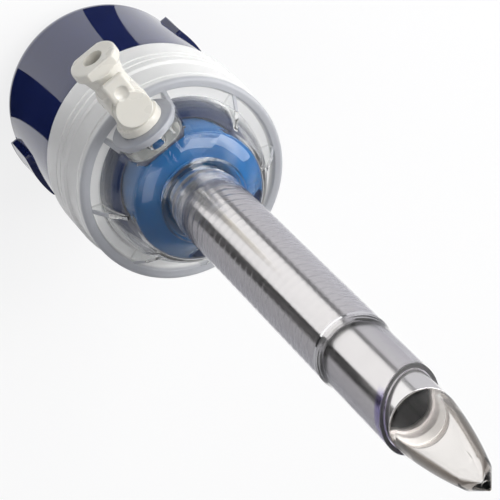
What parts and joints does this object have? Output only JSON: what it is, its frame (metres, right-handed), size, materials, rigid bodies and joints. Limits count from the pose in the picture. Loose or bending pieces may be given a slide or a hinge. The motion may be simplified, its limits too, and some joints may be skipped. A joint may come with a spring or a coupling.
{
  "type": "laparoscopic trocar",
  "caption": "Optical trocar with a clear dolphin-nose obturator, a ribbed clear cannula, a domed valve housing and a side stopcock.",
  "frame": {"origin": "centre of the scope channel's mouth, in the plane of the handle's flat back face", "axes": "+Z along the long axis towards the pointed tip; -Y along the stopcock's branch; +X through the right release button"},
  "size_m": [0.044, 0.058, 0.1914],
  "materials": {
    "navy_plastic": "glossy navy moulding",
    "white_plastic": "milky white satin moulding",
    "grey_plastic": "matt grey inner moulding",
    "clear_plastic": "clear polycarbonate, polished",
    "blue_silicone": "translucent blue silicone",
    "seal_rubber": "pale elastomer",
    "black_rubber": "black O-ring rubber",
    "polished_steel": "polished drawn tube",
    "spring_steel": "folded spring strip"
  },
  "bodies": {
    "obturator": {"handle_cap": "navy_plastic", "scope_grip": "black_rubber", "handle_core": "grey_plastic", "shaft_collar": "grey_plastic", "obturator_shaft": "polished_steel", "obturator_tip": "clear_plastic", "button_spring_right": "spring_steel", "button_spring_left": "spring_steel"},
    "button_right": {"release_button_right": "navy_plastic"},
    "button_left": {"release_button_left": "navy_plastic"},
    "seal_unit": {"seal_lid": "white_plastic", "seal_housing": "white_plastic", "seal_ring_upper": "white_plastic", "seal_ring_lower": "white_plastic", "instrument_seal": "seal_rubber", "seal_protector": "clear_plastic", "seal_oring": "seal_rubber"},
    "cannula": {"cannula_tube": "clear_plastic", "valve_housing": "clear_plastic", "valve_clamp": "white_plastic", "duckbill_valve": "blue_silicone", "valve_retainer": "navy_plastic", "stopcock_body": "white_plastic"},
    "tap": {"stopcock_tap": "white_plastic"}
  },
  "joints": [
    {"name": "withdraw", "type": "slide", "parent": "obturator", "child": "seal_unit", "axis": [0, 0, 1], "range_m": [0, 0.175]},
    {"name": "bayonet", "type": "hinge", "parent": "seal_unit", "child": "cannula", "pos_m": [0, 0, 0.038], "axis": [0, 0, 1], "range_deg": [0, 30]},
    {"name": "press_right", "type": "slide", "parent": "obturator", "child": "button_right", "axis": [-1, 0, 0], "range_m": [0, 0.002], "stiffness_N_per_m": 900, "springref_m": -0.001, "deforming": ["button_spring_right"]},
    {"name": "press_left", "type": "slide", "parent": "obturator", "child": "button_left", "axis": [1, 0, 0], "range_m": [0, 0.002], "stiffness_N_per_m": 900, "springref_m": -0.001, "deforming": ["button_spring_left"]},
    {"name": "tap_turn", "type": "hinge", "parent": "cannula", "child": "tap", "pos_m": [0, -0.0255, 0.064], "axis": [0, 0, 1], "range_deg": [0, 90]}
  ]
}
